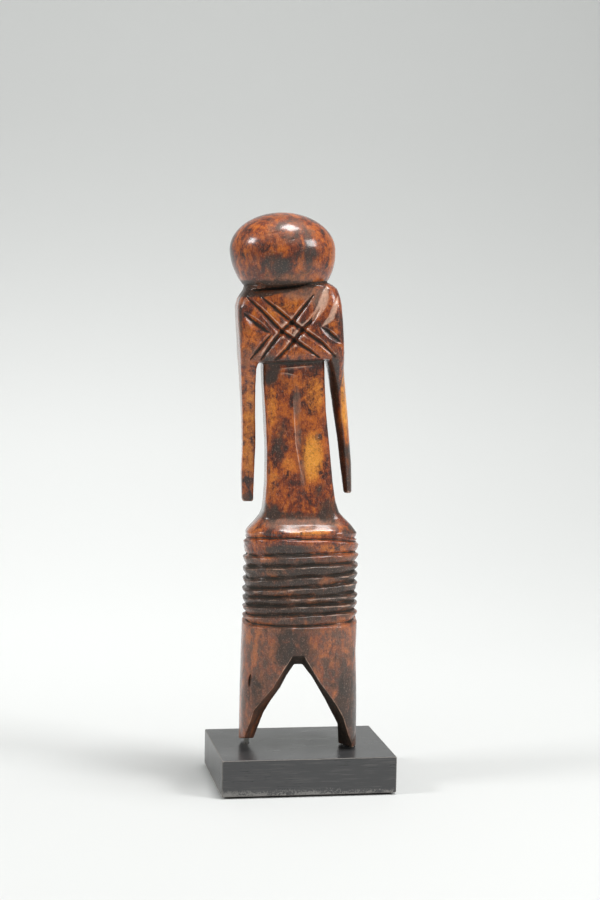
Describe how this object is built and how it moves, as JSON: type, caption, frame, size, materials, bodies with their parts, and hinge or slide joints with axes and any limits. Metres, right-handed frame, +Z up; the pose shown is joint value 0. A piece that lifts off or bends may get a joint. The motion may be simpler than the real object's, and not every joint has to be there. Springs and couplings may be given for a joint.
{
  "type": "fertility doll",
  "caption": "Carved wooden fertility doll with an egg-shaped head, crossed chest bands, thin arms, ringed skirt and forked legs, standing on pins in a black display plinth.",
  "frame": {"origin": "middle of the felt's underside, where the plinth stands", "axes": "+Z up; the doll's front faces -Y, turned 4.5 degrees towards -X; +X to the viewer's right"},
  "size_m": [0.072, 0.057, 0.2361],
  "materials": {
    "varnished_wood": "glossy, smoke-darkened",
    "black_lacquer": "semi-gloss black paint on wood",
    "pin_steel": "bright",
    "felt": "black felt"
  },
  "bodies": {
    "mount": {"plinth_block": "black_lacquer", "left_foot_pin": "pin_steel", "right_foot_pin": "pin_steel", "felt_sheet": "felt"},
    "figure": {"carved_figure": "varnished_wood"}
  },
  "joints": [
    {"name": "figure_lift", "type": "slide", "parent": "mount", "child": "figure", "axis": [0, 0, 1], "range_m": [0, 0.016]}
  ]
}
